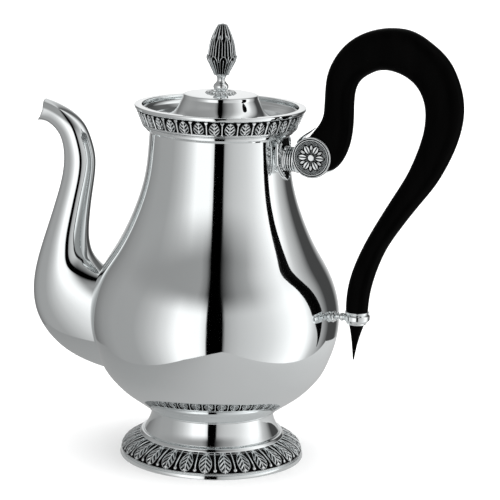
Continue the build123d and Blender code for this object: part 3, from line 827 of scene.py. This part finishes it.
def make_handle():
    """The scrolled handle, with the round tenon that the socket holds, down to the pointed spike."""
    grid = oval_grid(HANDLE_STATIONS, rings=420, around=72, power=2.35)
    low, high = box_mm("handle")
    grid = np.clip(grid, low + CLEAR, high - CLEAR)
    add_mesh("handle", capped(grid), POT, wood, close_u=True, replaces=("handle",))
    radius = TENON_R - 0.1
    tenon = rounded([
        (0.0, -GRIP_HALF), (radius, -GRIP_HALF, 0.4), (radius, GRIP_HALF, 0.4), (0.0, GRIP_HALF),
    ])
    disc = turned(tenon, turns=FINE_TURNS)
    placed = np.stack([disc[..., 0] + SOCKET[0], disc[..., 2], disc[..., 1] + SOCKET[1]], axis=-1)
    add_mesh("handle_tenon", placed, POT, wood, close_u=True, close_v=True)


make_handle()

# Lower handle mount ------------------------------------------------------------------------------
CLAMP_X, CLAMP_Z = 82.7, 87.6
BOSS_Z = CLAMP_Z - 1.2
LOWER_STRUT_Z = BOSS_Z + 0.5

lathe("lower_boss", rounded([
    (0.0, 67.0), (2.9, 67.0), (2.9, 69.3, 0.2), (3.2, 69.7, 0.2), (2.6, 70.2, 0.2), (2.4, 70.8, 0.2),
    (1.7, 71.1, 0.2), (0.0, 71.1),
], 5), axis="X", centre=(0, BOSS_Z), turns=72)

lathe("lower_strut", rounded([
    (0.0, 70.6), (1.5, 70.6), (1.5, 71.2, 0.2), (2.2, 71.6, 0.25), (2.2, 72.2, 0.25), (1.5, 72.6, 0.3),
    (1.5, 73.1, 0.3), (2.4, 74.1, 0.8), (2.1, 75.2, 0.6), (1.6, 75.7, 0.3), (1.9, 76.6, 0.2),
    (0.0, 76.6),
], 5), axis="X", centre=(0, LOWER_STRUT_Z), turns=72)

lathe("clamp_ring", rounded([
    (4.6, CLAMP_Z - 3.6, 0.1), (5.3, CLAMP_Z - 3.6, 0.3), (5.6, CLAMP_Z - 2.6, 0.3),
    (6.1, CLAMP_Z - 2.2, 0.2), (7.05, CLAMP_Z - 1.2, 0.9), (7.05, CLAMP_Z + 1.2, 0.9),
    (6.1, CLAMP_Z + 2.0, 0.2), (6.4, CLAMP_Z + 2.6, 0.25), (6.6, CLAMP_Z + 3.4, 0.3),
    (5.7, CLAMP_Z + 3.4, 0.1), (5.5, CLAMP_Z + 2.4, 0),
]), centre=(CLAMP_X, 0), turns=FINE_TURNS)

# Lid ---------------------------------------------------------------------------------------------
LID_TOP = 202.4
cover_low, cover_high = box_mm("lid_cover")
FLANGE = cover_low[2]
FLANGE_R = cover_high[0]
dome = smooth([(1.6, LID_TOP), (10.0, LID_TOP - 0.15), (18.9, LID_TOP - 0.5)], 14)
shoulder = rounded([(18.9, LID_TOP - 0.5), (20.35, LID_TOP - 0.8, 1.1), (20.3, LID_TOP - 2.6)], 9)[1:-1]
flank = smooth([
    (20.35, LID_TOP - 2.4), (21.5, 197.6), (23.3, 194.0), (26.6, 190.8), (31.0, 189.6),
    (FLANGE_R - 0.3, FLANGE + 0.8),
], 46)
under = smooth([
    (FLANGE_R - 0.3, FLANGE), (31.0, FLANGE + 0.3), (26.0, 190.0), (22.6, 193.5), (20.8, 197.3),
    (19.4, 200.5),
], 30)
lathe("lid_cover", np.concatenate([
    dome, shoulder, flank, [(FLANGE_R, FLANGE + 0.6), (FLANGE_R, FLANGE + 0.2)], under,
    [(18.4, LID_TOP - 1.3), (10.0, LID_TOP - 0.95), (1.6, LID_TOP - 0.8)],
]), body=LID)

# Finial ------------------------------------------------------------------------------------------
PLATE_LOBES = 16
STEM_FOOT, STEM_TOP = LID_TOP + 1.1, 212.7


def make_finial_plate():
    """The scalloped rosette under the finial."""
    share = np.linspace(0, 1, 40)[:, None]
    angle = full_turn(320)[None, :]
    lobe = np.abs(np.cos(angle * PLATE_LOBES / 2))
    radius = 1.6 + share * (6.0 + 0.9 * lobe**0.6)
    swell = step(share, 0.30, 0.6) * (0.25 + 0.75 * lobe) * np.sqrt(np.clip(1.02 - share**6, 0, 1))
    collar = 0.9 * step(0.42 - share, 0.0, 0.1)
    value = np.clip(np.maximum(swell, collar), 0, 1)
    height = LID_TOP + 0.15 + 0.95 * value * step(1.0 - share, 0.0, 0.12)
    front = round_z(radius, angle, height)
    back = front[::-1].copy()
    back[..., 2] = LID_TOP - 0.05
    add_mesh(
        "finial_plate", np.concatenate([front, back]), LID, silver, close_u=True, close_v=True,
        replaces=("finial_plate",),
    )


make_finial_plate()

stem = smooth([
    (2.9, STEM_FOOT), (3.8, 204.5), (4.15, 205.9), (3.4, 207.4), (2.3, 208.8), (2.2, 209.8),
    (2.6, 211.2), (3.7, STEM_TOP),
], 60)
bore = [(1.6, STEM_TOP), (1.6, STEM_FOOT)]
lathe("finial_stem", np.concatenate([stem, bore]), body=LID, turns=96)

BUD_FOOT, BUD_TIP = 212.4, 240.0
BUD_RELIEF = 1.1
BUD_OUTLINE = [
    (3.0, BUD_FOOT), (3.9, 214.6), (5.3, 217.4), (6.3, 220.0), (6.8, 222.2), (6.5, 225.5), (6.1, 228.2),
    (5.4, 230.8), (4.4, 233.5), (3.2, 236.2), (2.0, 238.4), (0.9, 239.6), (0.0, BUD_TIP),
]
BUD_LEAVES = 9
CUP_FOOT, CUP_TOP = 212.8, 222.8
TALL_FOOT, TALL_TOP = 219.5, 234.0
CROWN_FOOT, CROWN_RIDGES = 231.5, 16


def bud_relief(angle, height):
    """The bud's relief: round-topped leaves, a staggered row of pointed ones, a ridged crown."""
    across = (angle * BUD_LEAVES / (2 * math.pi)) % 1.0 - 0.5
    shifted = (angle * BUD_LEAVES / (2 * math.pi) + 0.5) % 1.0 - 0.5
    t = (height - CUP_FOOT) / (CUP_TOP - CUP_FOOT)
    half = 0.44 * np.sqrt(np.clip(1 - np.clip((t - 0.70) / 0.30, 0, 1) ** 2, 0, 1))
    cup = step(half - np.abs(across), 0.0, 0.05) * (t < 1.0)
    outline = line_at(half - np.abs(across), 0.09, 0.06)
    rib = line_at(across, 0.0, 0.07) * step(0.86 - t, 0, 0.1)
    cup_value = cup * np.clip(0.05 + 0.95 * np.maximum(outline, rib), 0, 1)
    s = (height - TALL_FOOT) / (TALL_TOP - TALL_FOOT)
    half = 0.43 * np.clip(1 - np.clip((s - 0.66) / 0.34, 0, 1) ** 1.7, 0, 1)
    tall = step(half - np.abs(shifted), 0.0, 0.04) * (s < 1.0) * (s > 0)
    outline = line_at(half - np.abs(shifted), 0.08, 0.06)
    rib = 0.85 * line_at(shifted, 0.0, 0.075)
    tall_value = tall * np.clip(0.02 + 0.86 * np.maximum(outline, rib), 0, 0.85) * (1 - cup)
    ridges = (0.5 + 0.5 * np.cos(angle * CROWN_RIDGES)) ** 1.5
    crown = (height > CROWN_FOOT) * (0.02 + 0.80 * ridges) * (1 - tall) * (1 - cup)
    return np.clip(np.maximum.reduce([cup_value, tall_value, crown]), 0, 1)


def make_bud():
    """The finial's bud: chased all round and closed at its foot."""
    line = smooth(BUD_OUTLINE, 260)
    angle = full_turn(540)
    value = bud_relief(angle[None, :], line[:, 1][:, None])
    fade = step(BUD_TIP - line[:, 1], 0.2, 1.6)[:, None]
    flare = 0.55 * step(line[:, 1], 217.5, 221.8) * (line[:, 1] < CUP_TOP)
    section = along_normals(line, BUD_RELIEF * value * fade + flare[:, None])
    section[..., 1] = np.minimum(section[..., 1], BUD_TIP)
    section[-1, :, 0] = 0
    grid = round_z(section[..., 0], angle, section[..., 1])
    base = np.broadcast_to(np.array([0, 0, BUD_FOOT]), grid[:1].shape)
    grid = np.concatenate([base, grid])
    relief = np.concatenate([value[:1], np.maximum(value, 0.75 * (1 - fade))])
    add_mesh(
        "finial_bud", grid, LID, oxide_and_painted_reflection, close_u=True, relief=relief,
        replaces=("finial_bud",),
    )


make_bud()

# CAD nodes that keep their own shape -------------------------------------------------------------
for node, finish in (
    ("lid_bezel", silver), ("finial_nut", silver), ("finial_washer", silver), ("finial_screw", steel),
    ("handle_rivet", silver),
):
    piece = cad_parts[node]
    piece.data.materials.clear()
    piece.data.materials.append(finish)

# Floor, light and camera -------------------------------------------------------------------------
TENT_FRONT = math.radians(23.0)       # bearing of the middle of the tent's front

# Outline, in metres, of the small table top that the silver mirrors: a glowing board painted with the
# table's light and shade.
BOARD = [
    (0.150, -0.020), (0.143, -0.200), (0.128, -0.228), (0.090, -0.220), (0.044, -0.203),
    (0.000, -0.177), (-0.048, -0.131), (-0.084, -0.100), (-0.130, -0.062), (-0.185, -0.010),
    (-0.200, 0.080), (-0.120, 0.200), (0.060, 0.250), (0.170, 0.180), (0.158, 0.070),
]
BOARD_Z = 0.0002
BOARD_SPAN = 0.20               # distance across which its painted shade grows lighter
# Emitted greys: painted shade and light of the table top, lighter to the right as seen from the tent's
# front.
BOARD_SHADE_GLOW = [(0.10, 0.30), (0.30, 0.36), (0.50, 0.47), (0.70, 0.52), (0.95, 0.64)]


def split_from_front(nodes, links, place):
    """The parts of a position or direction, X to the right as seen from the tent's front."""
    turn = nodes.new("ShaderNodeVectorRotate")
    turn.rotation_type = "Z_AXIS"
    turn.inputs["Angle"].default_value = -TENT_FRONT
    links.new(place, turn.inputs["Vector"])
    split = nodes.new("ShaderNodeSeparateXYZ")
    links.new(turn.outputs["Vector"], split.inputs["Vector"])
    return split


def as_share(nodes, links, source, reach):
    """0 at -reach and 1 at reach."""
    share = nodes.new("ShaderNodeMapRange")
    share.inputs["From Min"].default_value = -reach
    share.inputs["From Max"].default_value = reach
    links.new(source, share.inputs["Value"])
    return share.outputs["Result"]


def make_floor():
    """A pale floor that the silver doesn't mirror, and a glowing board painted with the table top's
    light and shade that only mirrors show.
    """
    bpy.ops.mesh.primitive_plane_add(size=8.0, location=(0, 0, 0))
    floor = bpy.context.object
    floor.name = "floor"
    material, nodes, links, shader = new_material("pale_floor")
    shader.inputs["Base Color"].default_value = (0.95, 0.95, 0.95, 1)
    shader.inputs["Roughness"].default_value = 0.9
    shader.inputs["Specular IOR Level"].default_value = 0.0
    floor.data.materials.append(material)
    floor.visible_glossy = False
    board_mesh = bpy.data.meshes.new("mirrored_board")
    outline = list(range(len(BOARD)))[::-1]
    board_mesh.from_pydata([(x, y, BOARD_Z) for x, y in BOARD], [], [outline])
    table = add_object("mirrored_board", board_mesh)
    grey, nodes, links, shader = new_material("board_painted_light")
    place = nodes.new("ShaderNodeTexCoord")
    split = split_from_front(nodes, links, place.outputs["Object"])
    share = as_share(nodes, links, split.outputs["X"], BOARD_SPAN)
    shade = ramp(nodes, links, share, BOARD_SHADE_GLOW)
    shader.inputs["Base Color"].default_value = (0.0, 0.0, 0.0, 1)
    shader.inputs["Specular IOR Level"].default_value = 0.0
    # The board glows instead of being lit: its grey is painted light and shade.
    shader.inputs["Emission Strength"].default_value = 1.0
    links.new(shade.outputs["Color"], shader.inputs["Emission Color"])
    table.data.materials.append(grey)
    table.visible_camera = False
    table.visible_diffuse = False
    table.visible_shadow = False


# Brightness of the light tent's walls and of its roof, by degrees to the right of its front.
TENT_LOW = [
    (-180, 0.95), (-165, 0.6), (-150, 0.17), (-125, 0.30), (-107, 0.35), (-79, 0.36), (-67, 0.45),
    (-56, 0.58), (-45, 0.80), (-35, 1.10), (-14, 1.10), (-8.5, 0.85), (-7.2, 0.0), (7.6, 0.0),
    (9.0, 0.36), (15, 0.47), (23, 0.55), (44, 0.68), (54, 0.78), (65, 0.95), (77, 1.15), (92, 1.15),
    (104, 0.60), (117, 0.36), (128, 0.06), (150, 0.06), (165, 0.6), (180, 0.95),
]
TENT_HIGH = [
    (-180, 0.70), (-120, 0.26), (-60, 0.30), (-20, 0.32), (-12, 0.20), (-7.2, 0.0), (5.5, 0.0),
    (12, 0.10), (25, 0.26), (40, 0.36), (60, 0.70), (80, 1.0), (100, 0.8), (128, 0.12), (150, 0.12),
    (180, 0.70),
]
WALL_TOP, ROOF_FOOT = math.radians(18), math.radians(42)


def tent_ramp(nodes, links, share, stops):
    """Brightness from a list of (bearing in degrees, grey)."""
    return ramp(nodes, links, share, [((bearing + 180) / 360, grey) for bearing, grey in stops])


def make_world():
    """A white studio for the camera, and for the silver a soft tent with a dark slot in its front."""
    world = bpy.data.worlds.new("studio")
    bpy.context.scene.world = world
    world.use_nodes = True
    nodes, links = world.node_tree.nodes, world.node_tree.links
    nodes.clear()
    place = nodes.new("ShaderNodeTexCoord")
    split = split_from_front(nodes, links, place.outputs["Generated"])
    flip = nodes.new("ShaderNodeMath")
    flip.operation = "MULTIPLY"
    flip.inputs[1].default_value = -1.0
    links.new(split.outputs["Y"], flip.inputs[0])
    bearing = nodes.new("ShaderNodeMath")
    bearing.operation = "ARCTAN2"
    links.new(split.outputs["X"], bearing.inputs[0])
    links.new(flip.outputs["Value"], bearing.inputs[1])
    share = as_share(nodes, links, bearing.outputs["Value"], math.pi)
    low = tent_ramp(nodes, links, share, TENT_LOW)
    high = tent_ramp(nodes, links, share, TENT_HIGH)
    rise = nodes.new("ShaderNodeMapRange")
    rise.interpolation_type = "SMOOTHSTEP"
    rise.inputs["From Min"].default_value = math.sin(WALL_TOP)
    rise.inputs["From Max"].default_value = math.sin(ROOF_FOOT)
    links.new(split.outputs["Z"], rise.inputs["Value"])
    tent = nodes.new("ShaderNodeMix")
    tent.data_type = "RGBA"
    links.new(rise.outputs["Result"], tent.inputs["Factor"])
    links.new(low.outputs["Color"], tent.inputs["A"])
    links.new(high.outputs["Color"], tent.inputs["B"])
    tent_light = nodes.new("ShaderNodeBackground")
    links.new(tent.outputs["Result"], tent_light.inputs["Color"])
    white = nodes.new("ShaderNodeBackground")
    white.inputs["Color"].default_value = (1, 1, 1, 1)
    ray = nodes.new("ShaderNodeLightPath")
    choose = nodes.new("ShaderNodeMixShader")
    links.new(ray.outputs["Is Camera Ray"], choose.inputs["Fac"])
    links.new(tent_light.outputs["Background"], choose.inputs[1])
    links.new(white.outputs["Background"], choose.inputs[2])
    out = nodes.new("ShaderNodeOutputWorld")
    links.new(choose.outputs["Shader"], out.inputs["Surface"])


def make_lights():
    """A broad soft overhead light that whitens the floor and leaves only a faint shadow."""
    light = bpy.data.lights.new("overhead", "SUN")
    light.energy = 3.6
    light.angle = math.radians(120)
    overhead = add_object("overhead", light)
    overhead.visible_glossy = False


def make_camera():
    """A long lens, a little above the rim, with the handle's side nearer."""
    distance = 1.2
    aim = Vector((0.0172, 0.0062, 0.1161))
    azimuth = math.radians(22.11)
    elevation = math.radians(12.44)
    roll = math.radians(1.71)
    away = Vector((
        math.sin(azimuth) * math.cos(elevation),
        -math.cos(azimuth) * math.cos(elevation),
        math.sin(elevation),
    ))
    level = Vector((0, 0, 1)).cross(away).normalized()
    upright = away.cross(level)
    right = level * math.cos(roll) + upright * math.sin(roll)
    up = away.cross(right)
    data = bpy.data.cameras.new("camera")
    data.lens = 157.75
    data.sensor_width = 36.0
    data.clip_start = 0.01
    data.clip_end = 50.0
    camera = add_object("camera", data)
    place = Matrix((right, up, away)).transposed().to_4x4()
    place.translation = aim + away * distance
    camera.matrix_world = place
    bpy.context.scene.camera = camera


make_floor()
make_world()
make_lights()
make_camera()
bpy.context.scene.view_settings.view_transform = "Standard"

bpy.context.view_layer.update()
